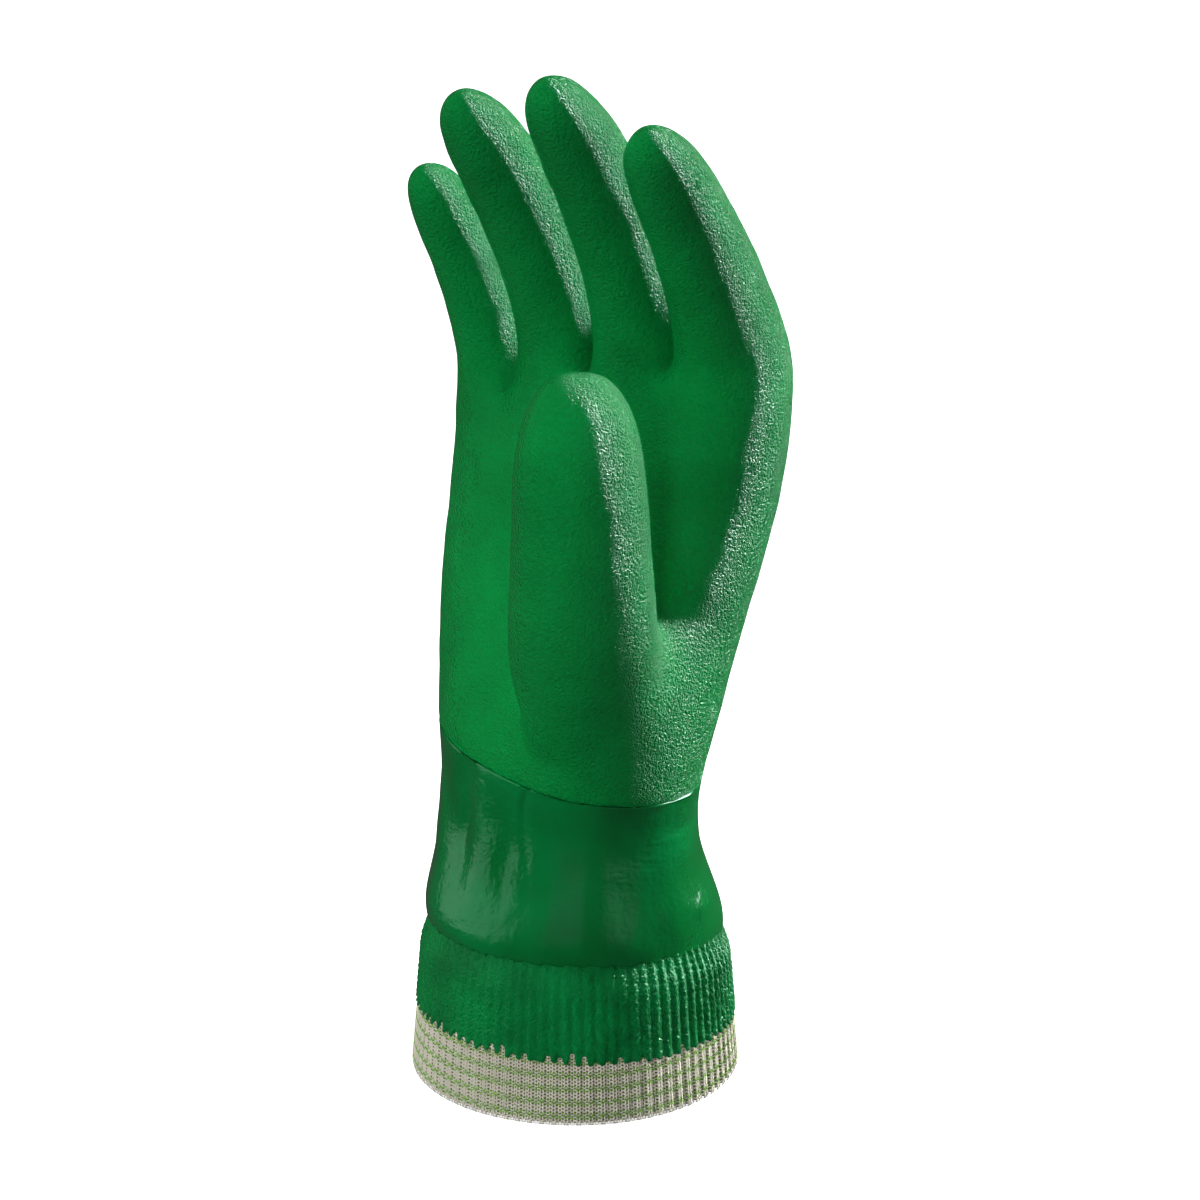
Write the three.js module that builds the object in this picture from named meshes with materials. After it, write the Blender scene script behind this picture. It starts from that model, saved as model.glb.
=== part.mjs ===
// A coated work glove for the right hand, standing on the rim of its knit cuff.
// Millimetres. +Z runs up the fingers, the palm faces -Y and the thumb side is +X.
// The wrist and hand are one skin: a coarse cage of quads, smoothed once, then given a wall inwards.
import * as THREE from "three";

// Heights above the rim, on the axis of the cuff
const coatEdgeHeight = 16.5;
const ridgeHeight = 40;
const gripHeight = 88;
const knuckleHeight = 181;

// Walls and clearances
const wall = 1.8;
const knitWall = 2.4;
const coatSkirt = 1.2;
const gap = 0.3;
const coatLap = 6;

// Cuff, wrist and palm, measured outside
const rimDiameter = 87;
const ridgeDiameter = 79;
const wristWidth = 72.5;
const wristDepth = 61;
const palmWidth = 106.5;
const palmDepth = 44;
const knuckleLean = 16.5;

// Slopes of the lines across the glove: how far each rises from one side to the other
const edgeRise = 2.5;
const ridgeRiseToPalm = 5;
const gripRiseToLittle = 12.8;
const gripRiseToPalm = 3.5;
const knuckleRiseToIndex = 24;

// Ribs of the knit
const ribPitch = 3.2;
const ribDepth = 0.9;
const coatedRibDepth = 0.7;
const coatEdgeJag = 1.6;
const jagWaves = { fast: 5, slow: 3, shift: 1 }; // how the drips lengthen and shorten round the cuff

// Fingers: the middle finger's length from crotch to tip, its width at the crotch, and for each finger
// its shares of these. depth: through the finger at the crotch; tip: thickness near the tip;
// spread: sideways between crotch and tip; leanLow, leanHigh: degrees towards the palm there
const fingerLength = 94.5;
const fingerWidth = 25.2;
const fingers = {
  index: { length: 0.83, width: 0.99, depth: 1.19, tip: 0.81, spread: 0.12, leanLow: 20, leanHigh: 44 },
  middle: { length: 1.0, width: 1.0, depth: 1.21, tip: 0.84, spread: 0, leanLow: 14, leanHigh: 44 },
  ring: { length: 0.974, width: 0.97, depth: 1.11, tip: 0.84, spread: -0.2, leanLow: 12, leanHigh: 44 },
  little: { length: 0.71, width: 0.853, depth: 0.952, tip: 0.706, spread: -0.32, leanLow: 9, leanHigh: 35 },
};
const fingerCapRise = 1.02; // where the middle of a fingertip's cap stands, as a share of the length
const fingerRings = [
  // along: share of the length; taper: 0 at the crotch size, 1 at the tip size; round: share of it
  { along: 0.16, taper: 0.0, round: 1.0 },
  { along: 0.38, taper: 0.42, round: 1.0 },
  { along: 0.6, taper: 0.78, round: 1.0 },
  { along: 0.8, taper: 1.0, round: 1.0 },
  { along: 0.94, taper: 1.0, round: 0.68 },
];

// Thumb: it faces a little to the side of the palm, bends upwards and tapers
const thumbFacing = THREE.MathUtils.degToRad(42);
const thumbReach = 56;
const thumbHeight = 113;
const thumbWidth = 36;
const thumbShift = 2;
const thumbTopShare = 0.5;
const thumbRings = [
  // up: share of the thumb's height above the grip line; out: share of its reach; side: share of its shift
  // lean: degrees from upright; wide, deep: shares of its width
  { up: 0.285, out: 0.715, side: 1.2, lean: 74, wide: 1.05, deep: 1.01 },
  { up: 0.425, out: 0.865, side: 1.2, lean: 46, wide: 1.02, deep: 0.9 },
  { up: 0.585, out: 0.935, side: 1.0, lean: 22, wide: 0.95, deep: 0.87 },
  { up: 0.73, out: 0.965, side: 0.8, lean: 11, wide: 0.91, deep: 0.85 },
  { up: 0.86, out: 0.98, side: 0.7, lean: 8, wide: 0.835, deep: 0.77 },
  { up: 0.95, out: 1.0, side: 0.65, lean: 8, wide: 0.57, deep: 0.54 },
];

// Wrist sections from the ridge to the grip line, then palm sections from there to the crotches.
// along: share of that stretch; swell: 0 at the first size, 1 at the last; back: lean of the section's
// middle, as a share of the knuckle lean; square: how far the oval is squared; thin: share of the depth
const wristSections = [
  { along: 0.0, swell: 0.0, puff: 0.98, back: 0.0, square: 2.0 },
  { along: 0.11, swell: 0.06, puff: 0.998, back: -0.03, square: 2.0 },
  { along: 0.3, swell: 0.5, puff: 0.99, back: -0.06, square: 2.0 },
  { along: 0.52, swell: 0.82, puff: 0.995, back: -0.1, square: 2.0 },
  { along: 0.78, swell: 1.0, puff: 0.985, back: -0.12, square: 2.0 },
];
const palmSections = [
  { along: 0.0, swell: 0.02, back: -0.12, square: 2.0 },
  { along: 0.08, swell: 0.14, back: -0.02, square: 2.05 },
  { along: 0.3, swell: 0.44, back: 0.22, square: 2.15 },
  { along: 0.52, swell: 0.7, back: 0.56, square: 2.3 },
  { along: 0.68, swell: 0.86, back: 0.86, square: 2.45 },
  { along: 0.84, swell: 0.96, back: 1.03, square: 2.55, thin: 0.98 },
  { along: 1.0, swell: 1.0, back: 1.08, square: 2.6, thin: 0.92 },
];
const thumbRootRows = { from: 1, to: 3 };

// The ball of the thumb and the web beside it: how far a point of a palm section is pulled out with
// the thumb and upwards, as shares of the thumb's width. column: palm columns 3 to 0, then the side
const thumbPulls = [
  { row: 0, column: 3, out: 0.03, up: 0 },
  { row: 0, column: 2, out: 0.06, up: 0 },
  { row: 0, column: 1, out: 0.06, up: 0 },
  { row: 0, column: 0, out: 0.03, up: 0 },
  { row: 1, column: 3, out: 0.12, up: 0 },
  { row: 1, column: 2, out: 0.19, up: 0 },
  { row: 1, column: 1, out: 0.19, up: 0 },
  { row: 1, column: 0, out: 0.11, up: 0 },
  { row: 1, column: "side", out: 0.05, up: 0 },
  { row: 3, column: 1, out: 0.05, up: -0.02 },
  { row: 3, column: 0, out: 0.1, up: -0.09 },
  { row: 3, column: "side", out: 0.06, up: -0.15 },
];

// Where the columns of the cage stand across a section, as shares of its half width. Every second one
// is a line between two fingers.
const across = [0.9, 0.73, 0.487, 0.244, 0, -0.244, -0.487, -0.73, -0.9];
const columns = 2 * across.length + 2;
const crotchDip = 0.86;
const crotchSag = 3.5;

// Soft dents and folds of the wrist coat
const dentEdge = 1.4; // how fast a dent fades upwards
const dentRange = { none: 0.1, full: 0.3, fullTop: 0.75, noneTop: 1.0 }; // the levels that dents reach
const dents = [
  // turn: degrees from the thumb side towards the back; level: share from ridge to grip line
  // wide, tall: half sizes as degrees and as a share of the same stretch; depth: millimetres inwards
  { turn: -112, level: 0.62, wide: 13, tall: 0.4, depth: 1.3 },
  { turn: -72, level: 0.5, wide: 16, tall: 0.42, depth: 0.9 },
  { turn: -30, level: 0.66, wide: 14, tall: 0.3, depth: 1.2 },
  { turn: 35, level: 0.55, wide: 15, tall: 0.4, depth: 1.0 },
  { turn: 85, level: 0.5, wide: 18, tall: 0.42, depth: 1.2 },
  { turn: 140, level: 0.6, wide: 16, tall: 0.4, depth: 1.1 },
  { turn: 190, level: 0.5, wide: 15, tall: 0.4, depth: 0.9 },
];

const knitMaterial = new THREE.MeshStandardMaterial({ color: 0xdfe0cf, roughness: 0.9, metalness: 0 });
const wristMaterial = new THREE.MeshStandardMaterial({ color: 0x00682f, roughness: 0.28, metalness: 0 });
const gripMaterial = new THREE.MeshStandardMaterial({ color: 0x067a35, roughness: 0.55, metalness: 0 });

const mix = THREE.MathUtils.lerp;
const radians = THREE.MathUtils.degToRad;
const smoothstep = THREE.MathUtils.smoothstep;

// A polygon shrinks when it is smoothed once; a cage ring is made this much larger
function grown(corners) {
  return 1 / (0.75 + 0.25 * Math.cos((2 * Math.PI) / corners));
}

// The cage: vertices, and quads with the name of the piece they belong to
const cage = { points: [], quads: [] };

function addPoint(point) {
  cage.points.push(point);
  return cage.points.length - 1;
}

function addQuad(piece, a, b, c, d) {
  cage.quads.push({ piece, corners: [a, b, c, d] });
}

// Joins two rings of equal length with a band of quads
function addBand(piece, lower, upper) {
  for (let i = 0; i < lower.length; i++) {
    const next = (i + 1) % lower.length;
    addQuad(piece, lower[i], lower[next], upper[next], upper[i]);
  }
}

// One section of the wrist or palm as a ring of the cage, anticlockwise from the thumb side seen from above
function sectionRing({ height, halfWidth, halfDepth, back, square, tiltX, tiltY }) {
  const ring = [];
  const put = (shareX, side) => {
    const shareY = (1 - Math.abs(shareX) ** square) ** (1 / square);
    const x = halfWidth * shareX;
    const y = halfDepth * shareY * side;
    ring.push(addPoint(new THREE.Vector3(x, back + y, height + tiltX * x + tiltY * y)));
  };
  put(1, 0);
  across.forEach((share) => put(share, 1));
  put(-1, 0);
  [...across].reverse().forEach((share) => put(share, -1));
  return ring;
}

const ridgeTiltY = -ridgeRiseToPalm / ridgeDiameter;
const gripTiltX = -gripRiseToLittle / wristWidth;
const gripTiltY = -gripRiseToPalm / wristDepth;
const knuckleTiltX = knuckleRiseToIndex / palmWidth;

const ringGrowth = grown(columns);
const wristRings = wristSections.map(({ along, swell, puff, back, square }) =>
  sectionRing({
    height: mix(ridgeHeight, gripHeight, along),
    halfWidth: (mix(ridgeDiameter, wristWidth, swell) / 2) * puff * ringGrowth,
    halfDepth: (mix(ridgeDiameter, wristDepth, swell) / 2) * puff * ringGrowth,
    back: back * knuckleLean,
    square,
    tiltX: gripTiltX * along ** 2,
    tiltY: mix(ridgeTiltY, gripTiltY, along),
  }),
);
const palmRings = palmSections.map(({ along, swell, back, square, thin = 1 }) =>
  sectionRing({
    height: mix(gripHeight, knuckleHeight, along),
    halfWidth: (mix(wristWidth, palmWidth, swell) / 2) * ringGrowth,
    halfDepth: (mix(wristDepth, palmDepth, swell) / 2) * thin * ringGrowth,
    back: back * knuckleLean,
    square,
    tiltX: mix(gripTiltX, knuckleTiltX, along),
    tiltY: gripTiltY * (1 - along),
  }),
);
const gripRing = palmRings[0];
[...wristRings, gripRing].reduce((lower, upper) => {
  addBand("wrist_coat", lower, upper);
  return upper;
});

// Columns by name: back[k] and palm[k] stand at across[k]
const backColumn = (k) => 1 + k;
const palmColumn = (k) => columns - 1 - k;
const thumbRoot = [palmColumn(3), palmColumn(2), palmColumn(1), palmColumn(0), 0];
const thumbOut = new THREE.Vector3(Math.sin(thumbFacing), -Math.cos(thumbFacing), 0);
const thumbAside = new THREE.Vector3(Math.cos(thumbFacing), Math.sin(thumbFacing), 0);
for (const { row, column, out, up } of thumbPulls) {
  const point = cage.points[palmRings[row][column === "side" ? 0 : palmColumn(column)]];
  point.addScaledVector(thumbOut, out * thumbWidth);
  point.z += up * thumbWidth;
}

for (let row = 0; row + 1 < palmRings.length; row++) {
  const lower = palmRings[row];
  const upper = palmRings[row + 1];
  for (let i = 0; i < columns; i++) {
    const next = (i + 1) % columns;
    const inRoot = row >= thumbRootRows.from && row < thumbRootRows.to && i >= thumbRoot[0];
    if (!inRoot) addQuad("grip_coat", lower[i], lower[next], upper[next], upper[i]);
  }
}

// Crotches: between two fingers the last ring is drawn in, with one more point in its middle
const knuckleRing = palmRings[palmRings.length - 1];
const knuckleBack = palmSections[palmSections.length - 1].back * knuckleLean;
const crotches = [2, 4, 6].map((k) => {
  const ends = [knuckleRing[backColumn(k)], knuckleRing[palmColumn(k)]].map((index) => cage.points[index]);
  ends.forEach((point) => {
    point.y = mix(knuckleBack, point.y, crotchDip);
  });
  const middle = ends[0].clone().add(ends[1]).multiplyScalar(0.5);
  return addPoint(middle.setZ(middle.z - crotchSag));
});

// Each finger starts at its eight points of the last palm ring and follows an arc towards the palm
Object.values(fingers).forEach((finger, order) => {
  const k = 2 * order;
  const thumbSide = order === 0 ? knuckleRing[0] : crotches[order - 1];
  const farSide = order === 3 ? knuckleRing[columns / 2] : crotches[order];
  let lower = [
    thumbSide,
    knuckleRing[backColumn(k)],
    knuckleRing[backColumn(k + 1)],
    knuckleRing[backColumn(k + 2)],
    farSide,
    knuckleRing[palmColumn(k + 2)],
    knuckleRing[palmColumn(k + 1)],
    knuckleRing[palmColumn(k)],
  ];
  const base = lower.reduce((sum, index) => sum.add(cage.points[index]), new THREE.Vector3());
  base.multiplyScalar(1 / lower.length);
  const low = radians(finger.leanLow);
  const turn = radians(finger.leanHigh) - low;
  const radius = (finger.length * fingerLength) / turn;
  const growth = grown(lower.length);
  const place = (along) =>
    new THREE.Vector3(
      base.x + finger.spread * fingerWidth * along,
      base.y - radius * (Math.cos(low) - Math.cos(low + turn * along)),
      base.z + radius * (Math.sin(low + turn * along) - Math.sin(low)),
    );
  for (const { along, taper, round } of fingerRings) {
    const lean = low + turn * along;
    const centre = place(along);
    const halfSize = (fingerWidth / 2) * round * growth;
    const halfWidth = mix(finger.width, finger.tip, taper) * halfSize;
    const halfDepth = mix(finger.depth, finger.tip, taper) * halfSize;
    const upper = lower.map((unused, i) => {
      const angle = (i * Math.PI) / 4;
      const sideways = new THREE.Vector3(halfWidth * Math.cos(angle), 0, 0);
      const backwards = new THREE.Vector3(0, Math.cos(lean), Math.sin(lean));
      backwards.multiplyScalar(halfDepth * Math.sin(angle));
      return addPoint(centre.clone().add(sideways).add(backwards));
    });
    addBand("grip_coat", lower, upper);
    lower = upper;
  }
  const top = addPoint(place(fingerCapRise));
  for (let i = 0; i < lower.length; i += 2) {
    addQuad("grip_coat", top, lower[i], lower[i + 1], lower[(i + 2) % lower.length]);
  }
});

// The thumb starts at the edge of the opening left in the palm, which is four columns by two rows
const { from: rootLow, to: rootHigh } = thumbRootRows;
let thumbLower = [
  ...thumbRoot.map((column) => palmRings[rootLow][column]),
  palmRings[rootLow + 1][thumbRoot[4]],
  ...[...thumbRoot].reverse().map((column) => palmRings[rootHigh][column]),
  palmRings[rootLow + 1][thumbRoot[0]],
];
const thumbGrowth = grown(thumbLower.length);
const thumbRingStart = 210; // degrees from the thumb's side to the first corner of its root
const thumbRingStep = 360 / thumbLower.length;
function thumbCentre({ up, out, side }) {
  return new THREE.Vector3(0, 0, gripHeight + up * thumbHeight)
    .add(thumbOut.clone().multiplyScalar(out * thumbReach))
    .add(thumbAside.clone().multiplyScalar(side * thumbShift));
}
for (const ring of thumbRings) {
  const lean = radians(ring.lean);
  const centre = thumbCentre(ring);
  const inwards = thumbOut.clone().multiplyScalar(-Math.cos(lean)).setZ(Math.sin(lean));
  const halfWidth = (thumbWidth / 2) * ring.wide * thumbGrowth;
  const halfDepth = (thumbWidth / 2) * ring.deep * thumbGrowth;
  const upper = thumbLower.map((unused, i) => {
    const angle = radians(thumbRingStart + thumbRingStep * i);
    return addPoint(
      centre
        .clone()
        .add(thumbAside.clone().multiplyScalar(halfWidth * Math.cos(angle)))
        .add(inwards.clone().multiplyScalar(halfDepth * Math.sin(angle))),
    );
  });
  addBand("grip_coat", thumbLower, upper);
  thumbLower = upper;
}
const lastThumbRing = thumbRings[thumbRings.length - 1];
const thumbTop = thumbCentre({ ...lastThumbRing, up: 1.0 });
const topSpread = (thumbWidth / 2) * lastThumbRing.wide * thumbTopShare;
const [topLeft, topMiddle, topRight] = [-1, 0, 1].map((side) =>
  addPoint(thumbTop.clone().add(thumbAside.clone().multiplyScalar(side * topSpread))),
);
const thumbEnd = thumbLower;
addQuad("grip_coat", thumbEnd[0], thumbEnd[1], topLeft, thumbEnd[11]);
addQuad("grip_coat", thumbEnd[1], thumbEnd[2], topMiddle, topLeft);
addQuad("grip_coat", thumbEnd[2], thumbEnd[3], topRight, topMiddle);
addQuad("grip_coat", thumbEnd[3], thumbEnd[4], thumbEnd[5], topRight);
addQuad("grip_coat", topRight, thumbEnd[5], thumbEnd[6], thumbEnd[7]);
addQuad("grip_coat", topMiddle, topRight, thumbEnd[7], thumbEnd[8]);
addQuad("grip_coat", topLeft, topMiddle, thumbEnd[8], thumbEnd[9]);
addQuad("grip_coat", thumbEnd[11], topLeft, thumbEnd[9], thumbEnd[10]);

// One step of Catmull-Clark smoothing. It returns the new mesh and a way to find the point on an edge.
function smooth({ points, quads }) {
  const edges = new Map();
  const key = (a, b) => (a < b ? `${a},${b}` : `${b},${a}`);
  const facePoints = quads.map(({ corners }) => {
    const middle = new THREE.Vector3();
    corners.forEach((corner) => middle.add(points[corner]));
    return middle.multiplyScalar(0.25);
  });
  quads.forEach(({ corners }, face) => {
    corners.forEach((a, i) => {
      const b = corners[(i + 1) % 4];
      if (!edges.has(key(a, b))) edges.set(key(a, b), { ends: [a, b], faces: [] });
      edges.get(key(a, b)).faces.push(face);
    });
  });
  const around = points.map(() => ({ faces: new Set(), edges: [] }));
  edges.forEach((edge) => {
    edge.ends.forEach((end) => {
      around[end].edges.push(edge);
      edge.faces.forEach((face) => around[end].faces.add(face));
    });
  });
  const middleOf = (edge) => points[edge.ends[0]].clone().add(points[edge.ends[1]]).multiplyScalar(0.5);
  const smoothed = points.map((point, index) => {
    const rim = around[index].edges.filter((edge) => edge.faces.length === 1);
    if (rim.length) {
      const moved = point.clone().multiplyScalar(0.5);
      rim.forEach((edge) => moved.add(middleOf(edge).multiplyScalar(0.25)));
      return moved;
    }
    const count = around[index].edges.length;
    const moved = point.clone().multiplyScalar((count - 3) / count);
    around[index].edges.forEach((edge) => moved.add(middleOf(edge).multiplyScalar(2 / count ** 2)));
    around[index].faces.forEach((face) => moved.add(facePoints[face].clone().multiplyScalar(1 / count ** 2)));
    return moved;
  });
  const edgeIndex = new Map();
  edges.forEach((edge, name) => {
    const middle = middleOf(edge);
    if (edge.faces.length === 2) {
      middle.multiplyScalar(0.5);
      edge.faces.forEach((face) => middle.add(facePoints[face].clone().multiplyScalar(0.25)));
    }
    edgeIndex.set(name, smoothed.push(middle) - 1);
  });
  const faceIndex = facePoints.map((point) => smoothed.push(point) - 1);
  const onEdge = (a, b) => edgeIndex.get(key(a, b));
  const fine = [];
  quads.forEach(({ piece, corners }, face) => {
    corners.forEach((corner, i) => {
      const next = onEdge(corner, corners[(i + 1) % 4]);
      const previous = onEdge(corners[(i + 3) % 4], corner);
      fine.push({ piece, corners: [corner, next, faceIndex[face], previous] });
    });
  });
  return { points: smoothed, quads: fine, onEdge };
}

const skin = smooth(cage);

// A ring of the cage as a ring of the smoothed skin, with the points between its corners
const fineRing = (ring) =>
  ring.flatMap((corner, i) => [corner, skin.onEdge(corner, ring[(i + 1) % ring.length])]);
// The smoothed ring half way between two rings of the cage
function betweenRing(lower, upper) {
  const ring = [];
  const centres = new Map();
  skin.quads.forEach(({ corners }) => centres.set(`${corners[0]},${corners[1]}`, corners[2]));
  lower.forEach((corner, i) => {
    const next = lower[(i + 1) % lower.length];
    ring.push(skin.onEdge(corner, upper[i]));
    ring.push(centres.get(`${corner},${skin.onEdge(corner, next)}`));
  });
  return ring;
}

// Dents press the wrist coat inwards
const turnFrom = (turn, other) => THREE.MathUtils.euclideanModulo(turn - other + 180, 360) - 180;
const wristQuads = skin.quads.filter(({ piece }) => piece === "wrist_coat");
new Set(wristQuads.flatMap(({ corners }) => corners)).forEach((index) => {
  const point = skin.points[index];
  const turn = THREE.MathUtils.radToDeg(Math.atan2(point.y, point.x));
  const level = (point.z - ridgeHeight) / (gripHeight - ridgeHeight);
  let press = 0;
  for (const dent of dents) {
    const aside = turnFrom(turn, dent.turn) / dent.wide;
    const above = (dentEdge * (level - dent.level)) / dent.tall;
    press += dent.depth * Math.exp(-(aside ** 2) - above ** 2);
  }
  const { none, full, fullTop, noneTop } = dentRange;
  const fade = smoothstep(level, none, full) * (1 - smoothstep(level, fullTop, noneTop));
  const away = Math.hypot(point.x, point.y);
  point.x -= (point.x / away) * press * fade;
  point.y -= (point.y / away) * press * fade;
});

// Outward normals of the whole skin, so that pieces meet without a step
const normals = skin.points.map(() => new THREE.Vector3());
skin.quads.forEach(({ corners }) => {
  const [a, b, c, d] = corners.map((index) => skin.points[index]);
  const normal = c.clone().sub(a).cross(d.clone().sub(b));
  corners.forEach((index) => normals[index].add(normal));
});
normals.forEach((normal) => normal.normalize());

// A closed body is gathered here as points and faces; a face may have three or four corners
class Body {
  constructor() {
    this.points = [];
    this.faces = [];
  }
  point(vector) {
    this.points.push(vector);
    return this.points.length - 1;
  }
  ring(vectors) {
    return vectors.map((vector) => this.point(vector));
  }
  quad(a, b, c, d) {
    this.faces.push([a, b, c], [a, c, d]);
  }
  band(lower, upper) {
    lower.forEach((corner, i) => {
      const next = (i + 1) % lower.length;
      this.quad(corner, lower[next], upper[next], upper[i]);
    });
  }
  // Joins two rings of different length, walking round both by angle; inwards turns the faces to the axis
  stitch(lower, upper, inwards = false) {
    const firstFace = this.faces.length;
    const turnOf = (index) => Math.atan2(this.points[index].y, this.points[index].x);
    const unroll = (ring) => {
      const turns = ring.map(turnOf);
      const first = turns.indexOf(Math.min(...turns));
      const ordered = ring.map((unused, i) => ring[(first + i) % ring.length]);
      const last = turnOf(ordered[0]) + 2 * Math.PI;
      return { ring: [...ordered, ordered[0]], turns: [...ordered.map(turnOf), last] };
    };
    const low = unroll(lower);
    const high = unroll(upper);
    let i = 0;
    let j = 0;
    while (i + 1 < low.ring.length || j + 1 < high.ring.length) {
      const stepLow = i + 1 < low.ring.length ? low.turns[i + 1] : Infinity;
      const stepHigh = j + 1 < high.ring.length ? high.turns[j + 1] : Infinity;
      if (stepLow <= stepHigh) {
        this.faces.push([low.ring[i], low.ring[i + 1], high.ring[j]]);
        i += 1;
      } else {
        this.faces.push([low.ring[i], high.ring[j + 1], high.ring[j]]);
        j += 1;
      }
    }
    if (inwards) this.faces.slice(firstFace).forEach((face) => face.reverse());
  }
  mesh(name, material) {
    const geometry = new THREE.BufferGeometry();
    const places = this.points.flatMap((point) => point.toArray());
    geometry.setAttribute("position", new THREE.Float32BufferAttribute(places, 3));
    geometry.setIndex(this.faces.flat());
    geometry.computeVertexNormals();
    const mesh = new THREE.Mesh(geometry, material);
    mesh.name = name;
    return mesh;
  }
}

// Copies the skin's quads of one piece into a body, outside or as the inner face of the wall. moved: new
// places of some points; without: points whose quads are left out
function addSkin(body, piece, { inner = false, moved = new Map(), without = new Set() } = {}) {
  const copied = new Map();
  const copy = (index) => {
    if (!copied.has(index)) {
      const place = moved.get(index) ?? skin.points[index];
      const point = inner ? place.clone().addScaledVector(normals[index], -wall) : place.clone();
      copied.set(index, body.point(point));
    }
    return copied.get(index);
  };
  skin.quads.forEach((quad) => {
    if (quad.piece !== piece || quad.corners.some((index) => without.has(index))) return;
    const corners = quad.corners.map(copy);
    if (inner) corners.reverse();
    body.quad(...corners);
  });
  return copied;
}

// The two coats lap at the grip line: the wrist coat's thinned top runs up inside the grip coat
const gripLine = fineRing(gripRing);
const lapTop = betweenRing(gripRing, palmRings[1]);
const tongueInset = (wall + gap) / 2;
const skirtInset = (wall - gap) / 2;
const insetPoint = (index, depth) => skin.points[index].clone().addScaledVector(normals[index], -depth);
const inset = (ring, depth) => ring.map((index) => insetPoint(index, depth));
const lowered = (points) => points.map((point) => point.clone().setZ(point.z - gap));

function makeGripCoat() {
  const body = new Body();
  const outer = addSkin(body, "grip_coat");
  const inner = addSkin(body, "grip_coat", { inner: true, without: new Set(gripLine) });
  const skirtLow = body.ring(inset(gripLine, skirtInset));
  const skirtHigh = body.ring(inset(lapTop, skirtInset));
  body.band(skirtLow, gripLine.map((index) => outer.get(index)));
  body.band(skirtHigh, skirtLow);
  body.band(lapTop.map((index) => inner.get(index)), skirtHigh);
  return body.mesh("grip_coat", gripMaterial);
}

// Cuff rings: round, with a rib at every second point. A jagged ring hangs down on the ribs and is
// drawn up by half as much between them.
const ribCount = Math.round((Math.PI * rimDiameter) / ribPitch);
const cuffSteps = 2 * ribCount;
function cuffRing(radius, height, { rib = 0, jag = 0, tiltX = 0, tiltY = 0 } = {}) {
  return Array.from({ length: cuffSteps }, (unused, i) => {
    const turn = (i * Math.PI) / ribCount;
    const raised = i % 2 === 0;
    const away = raised ? radius : radius - rib;
    const slowWave = Math.cos(jagWaves.slow * turn + jagWaves.shift);
    const wander = 0.5 + 0.5 * Math.sin(jagWaves.fast * turn) * slowWave;
    const x = away * Math.cos(turn);
    const y = away * Math.sin(turn);
    const drip = jag * (raised ? -wander : 0.5);
    return new THREE.Vector3(x, y, height + tiltX * x + tiltY * y + drip);
  });
}
const rimRadius = rimDiameter / 2;
const ridgeRadius = ridgeDiameter / 2;
const cuffRadiusAt = (height) => mix(rimRadius, ridgeRadius, height / ridgeHeight);
const lapHeight = coatEdgeHeight + coatLap;
const rimRound = 0.4;
const ridgeGroove = 1.0;
const edgeTilt = { tiltX: -edgeRise / rimDiameter, tiltY: -edgeRise / rimDiameter };
const ridgeTilt = { tiltX: 0, tiltY: ridgeTiltY };

function makeKnitCuff() {
  const body = new Body();
  const edge = cuffRadiusAt(coatEdgeHeight);
  const top = cuffRadiusAt(lapHeight);
  const rings = [
    cuffRing(rimRadius - knitWall, 0),
    cuffRing(rimRadius - rimRound, 0, { rib: ribDepth / 2 }),
    cuffRing(edge, coatEdgeHeight - coatEdgeJag - gap, { rib: ribDepth, ...edgeTilt }),
    cuffRing(edge - coatSkirt - gap, coatEdgeHeight - coatEdgeJag - gap, edgeTilt),
    cuffRing(top - coatSkirt - gap, lapHeight - gap, edgeTilt),
    cuffRing(top - knitWall, lapHeight - gap, edgeTilt),
  ].map((ring) => body.ring(ring));
  rings.forEach((ring, i) => body.band(ring, rings[(i + 1) % rings.length]));
  return body.mesh("knit_cuff", knitMaterial);
}

function makeWristCoat() {
  const body = new Body();
  const up = lowered(gripLine.map((index) => skin.points[index]));
  const moved = new Map(gripLine.map((index, i) => [index, up[i]]));
  const outer = addSkin(body, "wrist_coat", { moved });
  const inner = addSkin(body, "wrist_coat", { inner: true, moved });
  const tongueLow = body.ring(lowered(inset(gripLine, tongueInset)));
  const tongueHigh = body.ring(lowered(inset(lapTop, tongueInset)));
  const innerHigh = body.ring(lowered(inset(lapTop, wall)));
  const outerTop = gripLine.map((index) => outer.get(index));
  const innerTop = gripLine.map((index) => inner.get(index));
  body.band(outerTop, tongueLow);
  body.band(tongueLow, tongueHigh);
  body.band(tongueHigh, innerHigh);
  body.band(innerHigh, innerTop);
  const ridgeRing = fineRing(wristRings[0]);
  const edge = cuffRadiusAt(coatEdgeHeight);
  const top = cuffRadiusAt(lapHeight);
  const ribs = { rib: coatedRibDepth };
  const jagged = { jag: coatEdgeJag, ...edgeTilt };
  const grooveRadius = ridgeRadius - ridgeGroove;
  const ribTop = body.ring(cuffRing(grooveRadius, ridgeHeight - ridgeGroove, { ...ribs, ...ridgeTilt }));
  const ribEdge = body.ring(cuffRing(edge, coatEdgeHeight, { ...ribs, ...jagged }));
  const skirtLow = body.ring(cuffRing(edge - coatSkirt, coatEdgeHeight, jagged));
  const skirtHigh = body.ring(cuffRing(top - coatSkirt, lapHeight, edgeTilt));
  const innerLow = body.ring(cuffRing(top - knitWall, lapHeight, edgeTilt));
  body.stitch(ribTop, ridgeRing.map((index) => outer.get(index)));
  body.band(ribEdge, ribTop);
  body.band(skirtLow, ribEdge);
  body.band(skirtHigh, skirtLow);
  body.band(innerLow, skirtHigh);
  body.stitch(innerLow, ridgeRing.map((index) => inner.get(index)), true);
  return body.mesh("wrist_coat", wristMaterial);
}

const glove = new THREE.Group();
glove.add(makeKnitCuff(), makeWristCoat(), makeGripCoat());

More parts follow.
